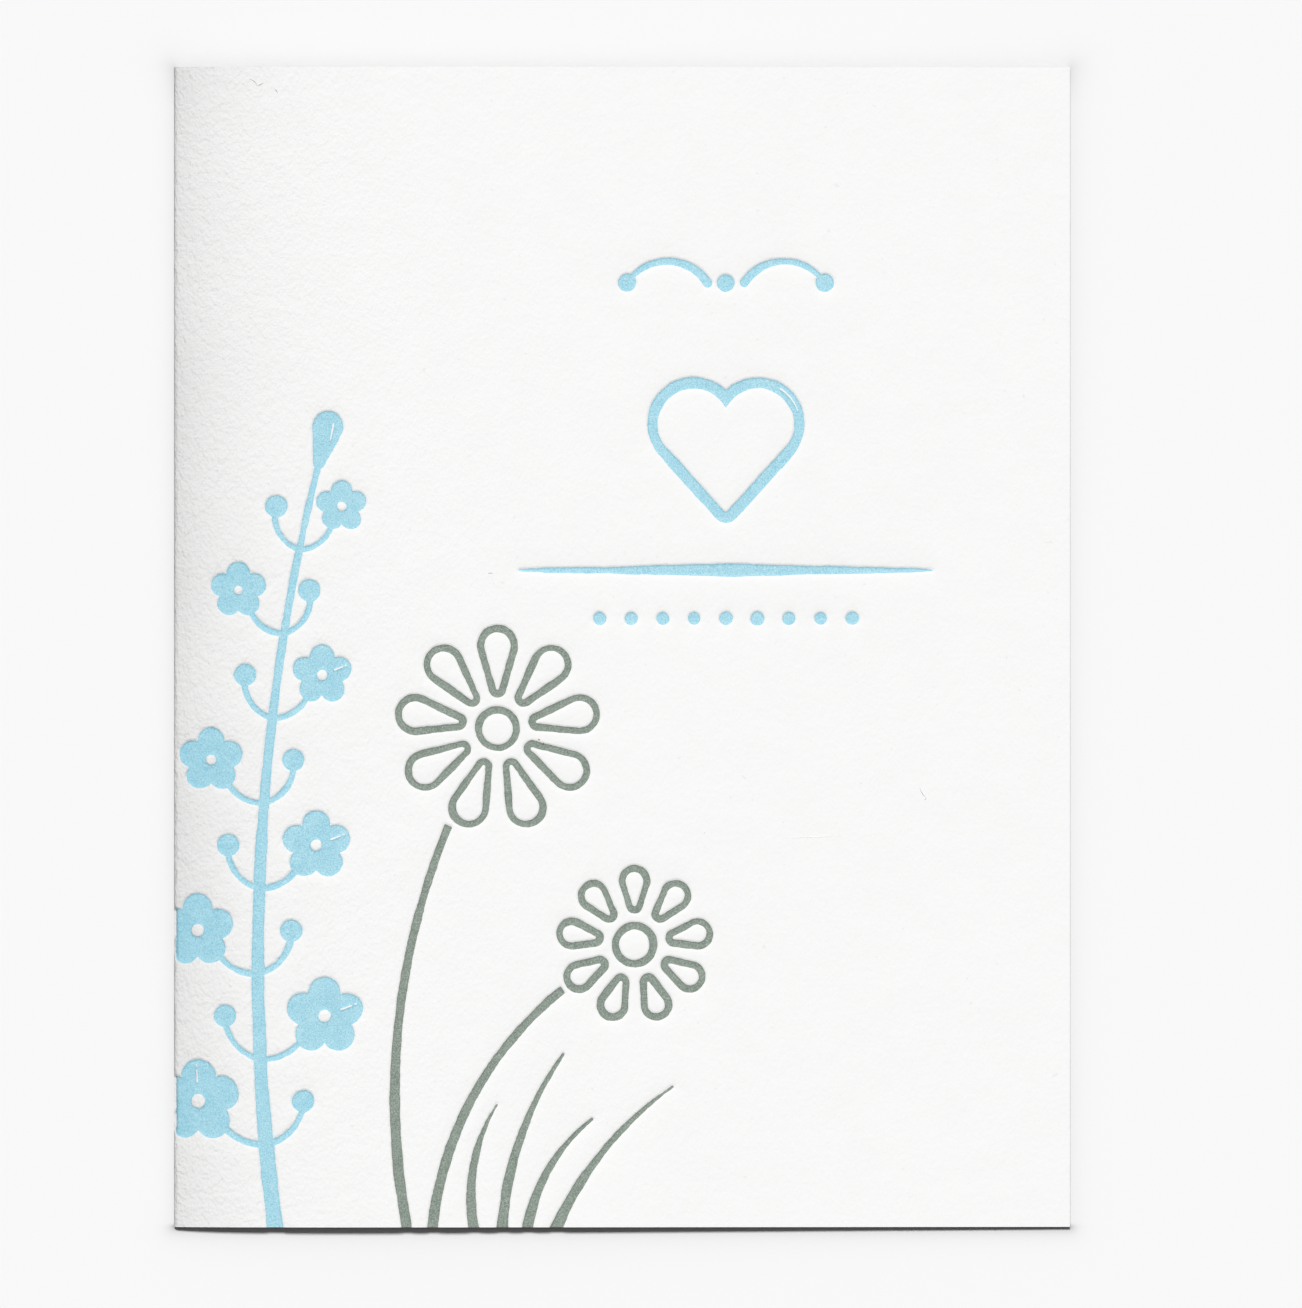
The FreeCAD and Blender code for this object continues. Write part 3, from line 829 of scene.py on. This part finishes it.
def build_back(sheet, levels, outer_row, inner_row):
    """The back panel, from the fold's last rows. Gives the rows of its bottom and top edges."""
    back_u = np.linspace(fold_radius, PANEL_WIDTH, BACK_COLUMNS)
    back_v = np.linspace(0, PANEL_HEIGHT, BACK_ROWS)
    bottom_rows = back_edge(sheet, back_u, back_u * 0, (0, -1), BACK_EDGE_SEEDS[0])
    top_rows = back_edge(sheet, back_u, back_u * 0 + PANEL_HEIGHT, (0, 1), BACK_EDGE_SEEDS[1])
    right_rows = back_edge(sheet, back_v * 0 + PANEL_WIDTH, back_v, (1, 0), BACK_EDGE_SEEDS[2])
    share_corners(right_rows, bottom_rows, top_rows)
    for face, fold_row in ((0, outer_row), (-1, inner_row)):
        bottom_rows[face][0] = fold_row[0]
        top_rows[face][0] = fold_row[-1]
    for rows_of_edge, turned in ((bottom_rows, False), (top_rows, True), (right_rows, False)):
        sheet.bridge_rows(rows_of_edge, turned)
    inner_places = [(u, v) for u in np.arange(BACK_PITCH, PANEL_WIDTH - BACK_MARGIN, BACK_PITCH)
                    for v in np.arange(BACK_PITCH, PANEL_HEIGHT - BACK_MARGIN, BACK_PITCH)]
    for face, fold_row in ((0, outer_row), (-1, inner_row)):
        border = loop_of(
            (bottom_rows[face], [(u, 0.0) for u in back_u]),
            (right_rows[face], [(PANEL_WIDTH, v) for v in back_v]),
            (top_rows[face], [(u, PANEL_HEIGHT) for u in back_u]),
            (fold_row, [(fold_radius, v) for v in levels]),
        )
        height = BACK_EDGE_HEIGHTS[face]
        sheet.fill(border, inner_places, lambda place: back_point(place.x, place.y, height), face == 0)
    return bottom_rows, top_rows


def close_fold(sheet, end, fold_rows, front_rows, back_rows):
    """The cut end of the fold, at the bottom where end is 0 and at the top where it is -1."""
    across = [[row[0] for row in front_rows]]
    for outer_row, inner_row in list(zip(*fold_rows))[1:-1]:
        start = Vector(sheet.points[outer_row[end]])
        finish = Vector(sheet.points[inner_row[end]])
        middle = [tuple(start.lerp(finish, depth / STOCK)) for depth in FRONT_EDGE_DEPTHS]
        across.append([outer_row[end]] + sheet.add_points(middle) + [inner_row[end]])
    across.append([row[0] for row in back_rows])
    sheet.bridge_rows(across, end == 0)


def build_sheet():
    sheet = Sheet()
    front = build_front(sheet)
    left = border_of(front, 0, print_start)
    fold_rows = build_fold(sheet, front, left)
    outer_rows, inner_rows = fold_rows
    front_rows = build_front_inside(sheet, front, left, inner_rows[0])
    back_rows = build_back(sheet, front["flat"][left, 1], outer_rows[-1], inner_rows[-1])
    for end, front_edge_rows, back_edge_rows in zip((0, -1), front_rows, back_rows):
        close_fold(sheet, end, fold_rows, front_edge_rows, back_edge_rows)
    return sheet, front


def placed(name, data):
    made = bpy.data.objects.new(name, data)
    bpy.context.scene.collection.objects.link(made)
    return made


def new_piece(name, points, faces, material, smooth_degrees):
    mesh = bpy.data.meshes.new(name)
    mesh.from_pydata([tuple(map(float, point)) for point in points], [], faces)
    mesh.validate()
    mesh.materials.append(material)
    piece = placed(name, mesh)
    mesh.shade_smooth()
    mesh.set_sharp_from_angle(angle=math.radians(smooth_degrees))
    return piece


def ink_piece(name, front, field, material):
    """The skin of one colour: a top that follows the pressed paper and a skirt into it."""
    flat = front["flat"]
    triangles = np.array(front["triangles"])
    centres = flat[triangles].mean(axis=1)
    chosen = triangles[sample(field, centres[:, 0], centres[:, 1]) < 0]
    used = np.unique(chosen)
    u, v = flat[used].T
    depth = front["depth"][used]
    top = front_place(u, v, depth - INK_SKIN)
    low = front_place(u, v, depth + INK_SKIRT)
    faces = [tuple(face) for face in np.searchsorted(used, chosen).tolist()]
    sides = dict.fromkeys((face[k], face[(k + 1) % 3]) for face in faces for k in range(3))
    border = [edge for edge in sides if (edge[1], edge[0]) not in sides]
    count = len(used)
    skirt = [(end, start, start + count, end + count) for start, end in border]
    under = [tuple(index + count for index in face[::-1]) for face in faces]
    return new_piece(name, np.vstack([top, low]), faces + skirt + under, material, INK_CREASE)


# Materials

class Tree:
    """A node tree, with short calls for what is used here."""

    def __init__(self, tree):
        self.tree = tree

    def give(self, socket, value):
        if isinstance(value, bpy.types.NodeSocket):
            self.tree.links.new(value, socket)
        else:
            socket.default_value = value

    def node(self, kind, **inputs):
        """A new node. Each input is named with _ for a space, and is given a value or a link."""
        node = self.tree.nodes.new("ShaderNode" + kind)
        for name, value in inputs.items():
            self.give(node.inputs[name.replace("_", " ")], value)
        return node

    def math(self, operation, *values, kind="Math"):
        node = self.node(kind)
        node.operation = operation
        for socket, value in zip(node.inputs, values):
            self.give(socket, value)
        return node.outputs["Value"]


class Nodes(Tree):
    """The node tree of a new material."""

    def __init__(self, name):
        self.material = bpy.data.materials.new(name)
        self.material.use_nodes = True
        super().__init__(self.material.node_tree)
        self.shader = self.tree.nodes["Principled BSDF"]
        self.coordinates = self.node("TexCoord").outputs["Object"]

    def surface(self, colour, roughness, specular):
        self.give(self.shader.inputs["Base Color"], colour)
        self.give(self.shader.inputs["Roughness"], roughness)
        self.give(self.shader.inputs["Specular IOR Level"], specular)

    def split(self):
        return self.node("SeparateXYZ", Vector=self.coordinates).outputs

    def stretched(self, x, y, z):
        return self.node("Mapping", Scale=(x, y, z), Vector=self.coordinates).outputs["Vector"]

    def noise(self, scale, detail, roughness, vector=None):
        vector = vector or self.coordinates
        node = self.node("TexNoise", Scale=scale, Detail=detail, Roughness=roughness, Vector=vector)
        return node.outputs["Fac"]

    def ramp(self, source, low, high):
        return self.node("MapRange", From_Min=low, From_Max=high, Value=source).outputs["Result"]

    def fading(self, distance, reach):
        """1 where the distance is 0, falling to about a third over the reach."""
        return self.math("POWER", 1 / math.e, self.math("DIVIDE", distance, reach))

    def mix(self, amount, first, second):
        node = self.node("Mix")
        node.data_type = "RGBA"
        for socket, value in zip((node.inputs["Factor"], *node.inputs[6:8]), (amount, first, second)):
            self.give(socket, (*value, 1.0) if isinstance(value, tuple) else value)
        return node.outputs[2]

    def bump(self, height, distance, strength, **after):
        node = self.node("Bump", Distance=distance, Strength=strength, Height=height, **after)
        return node.outputs["Normal"]


GRAIN_SCALE = 4600  # humps per metre, as for all these scales
GRAIN_RELIEF = 0.000036
FIBRE_SCALE = 2300
FIBRE_RELIEF = 0.000190
FELT_SCALE = 900
FELT_RELIEF = 0.000205


def paper_tooth(nodes, depth):
    """The fine relief of uncoated cotton stock, which shows most where the panel springs from the fold."""
    grain = nodes.noise(GRAIN_SCALE, 3, 0.62)
    fibres = nodes.noise(FIBRE_SCALE, 2, 0.55, nodes.stretched(1.2, 0.85, 1))
    felt = nodes.noise(FELT_SCALE, 2, 0.5, nodes.stretched(1.25, 0.85, 1))
    beside_fold = nodes.math("MULTIPLY", near_fold(nodes, TOOTH_REACH), 1 - TOOTH_SHARE)
    strength = nodes.math("ADD", beside_fold, TOOTH_SHARE)
    first = nodes.bump(grain, depth * GRAIN_RELIEF, strength)
    second = nodes.bump(fibres, depth * FIBRE_RELIEF, strength, Normal=first)
    return nodes.bump(felt, depth * FELT_RELIEF, strength, Normal=second)


def near_fold(nodes, reach):
    """1 beside the scored fold, falling to about a third over the reach."""
    from_fold = nodes.math("ADD", nodes.split()["X"], PANEL_WIDTH / 2 * MM)
    return nodes.fading(nodes.math("MAXIMUM", from_fold, 0.0), reach * MM)


def painted_fold_shade(nodes):
    """How much painted shade darkens the stock and the ink by the fold, with slow changes up the card."""
    along = nodes.ramp(nodes.noise(38, 1, 0.5, nodes.stretched(0.3, 1, 1)), 0.3, 0.7)
    uneven = nodes.math("ADD", nodes.math("MULTIPLY", along, 0.5), 0.75)
    fold_shading = nodes.math("MULTIPLY", near_fold(nodes, FOLD_SHADE_REACH), FOLD_SHADE)
    return nodes.math("MULTIPLY", fold_shading, uneven)


CLOUD_DARK = (0.935, 0.934, 0.930)
CLOUD_LIGHT = (0.949, 0.948, 0.944)
FLECK = (0.965, 0.963, 0.961)
FLECK_SHARE = 0.35
SPECK = (0.66, 0.64, 0.60)
SPECK_SHARE = 0.2
# the grey towards which the painted fold shade mixes the paper
FOLD_SHADE_GREY = (0.50, 0.50, 0.495)


def paper_material():
    nodes = Nodes("cotton_paper")
    cloud = nodes.ramp(nodes.noise(260, 2, 0.5, nodes.stretched(0.8, 1.2, 1)), 0.3, 0.7)
    fleck = nodes.ramp(nodes.noise(3000, 2, 0.6, nodes.stretched(0.5, 1.6, 1)), 0.35, 0.65)
    speck = nodes.ramp(nodes.noise(1250, 1, 0.5), 0.75, 0.8)
    base = nodes.mix(cloud, CLOUD_DARK, CLOUD_LIGHT)
    toothed = nodes.mix(nodes.math("MULTIPLY", fleck, FLECK_SHARE), base, FLECK)
    specked = nodes.mix(nodes.math("MULTIPLY", speck, SPECK_SHARE), toothed, SPECK)
    # painted shade: the paper is mixed towards grey by the fold
    colour = nodes.mix(painted_fold_shade(nodes), specked, FOLD_SHADE_GREY)
    nodes.surface(colour, 0.95, 0.15)
    nodes.give(nodes.shader.inputs["Normal"], paper_tooth(nodes, 1.0))
    return nodes.material


FINE_SHARE = 0.78
BROAD_SHARE = 0.22
BLUE_TONES = ((0.245, 0.565, 0.710), (0.525, 0.800, 0.880), (0.76, 0.89, 0.92))  # deep, plain and bare
BLUE_BARE_SHARE = 0.55
GREEN_TONES = ((0.150, 0.197, 0.160), (0.343, 0.395, 0.348), (0.66, 0.70, 0.66))
GREEN_BARE_SHARE = 0.6


def ink_material(name, deep, plain, bare, bare_share):
    """Ink that has soaked in unevenly: a fine mottle, and pinholes where the paper's fibres show. By the
    fold it is darkened with painted shade.
    """
    nodes = Nodes(name)
    fine = nodes.math("MULTIPLY", nodes.ramp(nodes.noise(6000, 2, 0.6), 0.36, 0.64), FINE_SHARE)
    broad = nodes.math("MULTIPLY", nodes.ramp(nodes.noise(520, 2, 0.5), 0.3, 0.7), BROAD_SHARE)
    amount = nodes.math("ADD", fine, broad)
    inked = nodes.mix(amount, deep, plain)
    holes = nodes.ramp(nodes.noise(7200, 2, 0.6), 0.58, 0.7)
    speckled = nodes.mix(nodes.math("MULTIPLY", holes, bare_share), inked, bare)
    # painted shade: the ink is mixed towards its deep tone by the fold
    colour = nodes.mix(painted_fold_shade(nodes), speckled, deep)
    nodes.surface(colour, 0.8, 0.25)
    nodes.give(nodes.shader.inputs["Normal"], paper_tooth(nodes, 0.8))
    return nodes.material


paper = paper_material()
blue_ink = ink_material("pale_blue_ink", *BLUE_TONES, BLUE_BARE_SHARE)
green_ink = ink_material("grey_green_ink", *GREEN_TONES, GREEN_BARE_SHARE)

sheet, front = build_sheet()
card = new_piece("card_paper", sheet.points, sheet.faces, paper, PAPER_CREASE)
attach(card, "root")
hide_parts("folded_card")

blue_skin = ink_piece("blue_print", front, blue.field, blue_ink)
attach(blue_skin, "root")
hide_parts("blue_ink")

green_skin = ink_piece("green_print", front, green.field, green_ink)
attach(green_skin, "root")
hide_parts("green_ink")


FIBRE_STEPS = 10
FIBRE_SIDES = 6
FIBRE_TIP = 0.25  # share of its thickness that a fibre keeps at its ends
FIBRE_TAPER = 0.08
HAIRS = (
    ((9.22, 138.17), (10.05, 137.42), 0.16),
    ((10.05, 137.42), (10.82, 137.74), -0.05),
    ((12.15, 137.0), (12.55, 136.5), 0.07),
    ((37.82, 78.74), (38.4, 78.7), 0.03),
    ((63.86, 47.5), (63.95, 47.45), 0.01),
    ((79.56, 56.86), (79.62, 56.8), 0.01),
    ((95.5, 29.99), (95.55, 29.92), 0.01),
)
PALE_FIBRES = (
    ((73.1, 46.86), (80.8, 47.16), -0.07),
)
BLUE_FIBRES = (
    ((89.85, 52.85), (90.6, 51.7), -0.09),
    ((90.6, 51.7), (90.4, 51.48), 0.08),
)
RED_FIBRES = (
    ((43.86, 58.73), (44.1, 58.66), 0.03),
    ((44.48, 58.3), (44.58, 58.24), 0.02),
)


def fibre_piece(name, runs, thickness, colour):
    """Loose hairs or dust on the paper. Each run is (start, end, bow) and lies along a circular arc."""
    nodes = Nodes(name)
    nodes.surface((*colour, 1), 0.8, 0.1)
    fibres = Sheet()
    for start, end, bow in runs:
        line = Bow(start, end, bow)
        rings = []
        for step in range(FIBRE_STEPS + 1):
            share = step / FIBRE_STEPS
            middling = min(max(share, FIBRE_TAPER), 1 - FIBRE_TAPER)
            radius = thickness / 2 * (FIBRE_TIP + (1 - FIBRE_TIP) * math.sin(math.pi * middling))
            rest = front_place(*line.place(share), -radius)[0]
            across = math.radians(line.heading(share) + 90)
            ring = []
            for corner in range(FIBRE_SIDES):
                turn = 2 * math.pi * corner / FIBRE_SIDES
                aside = radius * math.cos(turn) * MM
                ring.append((
                    rest[0] + aside * math.cos(across),
                    rest[1] + aside * math.sin(across),
                    rest[2] + radius * math.sin(turn) * MM,
                ))
            rings.append(fibres.add_points(ring))
        fibres.faces.append(tuple(rings[0][::-1]))
        fibres.bridge_rows([ring + ring[:1] for ring in rings], False)
        fibres.faces.append(tuple(rings[-1]))
    piece = new_piece(name, fibres.points, fibres.faces, nodes.material, PAPER_CREASE)
    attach(piece, "root")


fibre_piece("grey_hairs", HAIRS, 0.07, (0.42, 0.41, 0.40))
fibre_piece("pale_fibres", PALE_FIBRES, 0.05, (0.82, 0.81, 0.80))
fibre_piece("blue_fibres", BLUE_FIBRES, 0.075, (0.50, 0.56, 0.62))
fibre_piece("red_fibres", RED_FIBRES, 0.13, (0.74, 0.20, 0.16))

# The table, the light and the camera

HALF_TABLE = 1.5
TABLE_DROP = 0.00002  # by which it lies under the card
TABLE_SEEN = (0.945, 0.945, 0.945)
TABLE_SHADE_BESIDE = (0.84, 0.84, 0.84)  # painted shade on the table right beside the card, which also damps the light that its cut edges throw there
TABLE_SHADE_ABOVE = (0.725, 0.725, 0.725)  # the same painted shade above the card, towards the key light
# over which the painted shade beside the card fades
TABLE_SHADE_FADE = 1.2 * MM
TABLE_PAINTED_SHADOW = (0.45, 0.45, 0.45)  # painted shadow: the dark line right under the bottom edge
# over which the painted shadow line fades
SHADOW_LINE_FADE = 0.45 * MM
TABLE_BOUNCE = (0.3, 0.3, 0.3)  # what it throws back on the card
table_corners = [(x * HALF_TABLE, y * HALF_TABLE, 0) for x, y in ((-1, -1), (1, -1), (1, 1), (-1, 1))]
table_mesh = bpy.data.meshes.new("table")
table_mesh.from_pydata(table_corners, [], [(0, 1, 2, 3)])
table = placed("table", table_mesh)
table.location.z = -TABLE_DROP
table_nodes = Nodes("pale_table")


def table_colour(nodes):
    """The table's colour, with painted shade beside the card and a painted shadow line under its bottom
    edge, with a darker one for the light it throws back.
    """
    x, y, _ = nodes.split()
    side = PANEL_WIDTH / 2 * MM
    end = PANEL_HEIGHT / 2 * MM

    def square_beyond(axis, half):
        distance = nodes.math("SUBTRACT", nodes.math("ABSOLUTE", axis, 0.0), half)
        return nodes.math("POWER", nodes.math("MAXIMUM", distance, 0.0), 2.0)

    aside = nodes.math("POWER", nodes.math("ADD", square_beyond(x, side), square_beyond(y, end)), 0.5)
    # painted shade beside and above the card
    beside = nodes.mix(nodes.ramp(y, end - 4 * TABLE_SHADE_FADE, end), TABLE_SHADE_BESIDE, TABLE_SHADE_ABOVE)
    table_with_painted_shade = nodes.mix(nodes.fading(aside, TABLE_SHADE_FADE), TABLE_SEEN, beside)
    # painted shadow in a thin line right under the card's bottom edge
    under = nodes.ramp(y, -end + SHADOW_LINE_FADE, -end)
    seen = nodes.mix(nodes.math("MULTIPLY", under, nodes.fading(aside, SHADOW_LINE_FADE)), table_with_painted_shade, TABLE_PAINTED_SHADOW)
    camera_ray = nodes.node("LightPath").outputs["Is Camera Ray"]
    return nodes.mix(camera_ray, TABLE_BOUNCE, seen)


table_nodes.surface(table_colour(table_nodes), 0.9, 0.0)
table_mesh.materials.append(table_nodes.material)

AMBIENT = 0.15  # both shares are of the light on a level surface, and together they make 1
KEY = 0.85
KEY_AZIMUTH = 97  # degrees, as are the next two
KEY_ELEVATION = 72
KEY_SOFTNESS = 8
AMBIENT_LEAN = (0.0, 0.8, 0.0)  # the studio is brighter at the top
BACKDROP = (0.945, 0.945, 0.945, 1)


def light_studio():
    """A pale studio that is brighter at the top of the picture, and a plain backdrop for the camera."""
    world = bpy.data.worlds.new("studio")
    bpy.context.scene.world = world
    world.use_nodes = True
    nodes = Tree(world.node_tree)
    towards = nodes.node("TexCoord").outputs["Generated"]
    lean = nodes.math("DOT_PRODUCT", towards, AMBIENT_LEAN, kind="VectorMath")
    lit = nodes.tree.nodes["Background"]
    nodes.give(lit.inputs["Color"], (1, 1, 1, 1))
    nodes.give(lit.inputs["Strength"], nodes.math("MULTIPLY_ADD", lean, AMBIENT, AMBIENT))
    seen = nodes.node("Background", Color=BACKDROP)
    path = nodes.node("LightPath").outputs
    mirrored = nodes.math("MAXIMUM", path["Is Glossy Ray"], path["Is Transmission Ray"])
    direct = nodes.math("MAXIMUM", path["Is Camera Ray"], mirrored)
    pick = nodes.node("MixShader")
    for socket, source in zip(pick.inputs, (direct, lit.outputs["Background"], seen.outputs["Background"])):
        nodes.give(socket, source)
    nodes.give(nodes.tree.nodes["World Output"].inputs["Surface"], pick.outputs["Shader"])


def key_light():
    """A soft distant lamp that gives a level surface its share of full white."""
    elevation = math.radians(KEY_ELEVATION)
    azimuth = math.radians(KEY_AZIMUTH)
    light = bpy.data.lights.new("key", "SUN")
    light.angle = math.radians(KEY_SOFTNESS)
    light.energy = KEY * math.pi / math.sin(elevation)
    lamp = placed("key", light)
    away = Vector((
        math.cos(elevation) * math.cos(azimuth),
        math.cos(elevation) * math.sin(azimuth),
        math.sin(elevation),
    ))
    lamp.location = away
    lamp.rotation_euler = away.to_track_quat("Z", "Y").to_euler()


light_studio()
key_light()

FRAME_HEIGHT = 0.1575
FRAMED_LEVEL = 0.002  # the height above the table at which FRAME_HEIGHT is seen
CAMERA_DISTANCE = 1.6
CAMERA_ASIDE = 0.0035
CAMERA_UP = -0.00084
SENSOR_HEIGHT = 24
camera_data = bpy.data.cameras.new("camera")
camera_data.sensor_fit = "VERTICAL"
camera_data.sensor_height = SENSOR_HEIGHT
camera_data.lens = SENSOR_HEIGHT * (CAMERA_DISTANCE - FRAMED_LEVEL) / FRAME_HEIGHT
camera_data.clip_end = 10
camera = placed("camera", camera_data)
camera.location = (CAMERA_ASIDE, CAMERA_UP, CAMERA_DISTANCE)
bpy.context.scene.camera = camera
bpy.context.scene.view_settings.view_transform = "Standard"
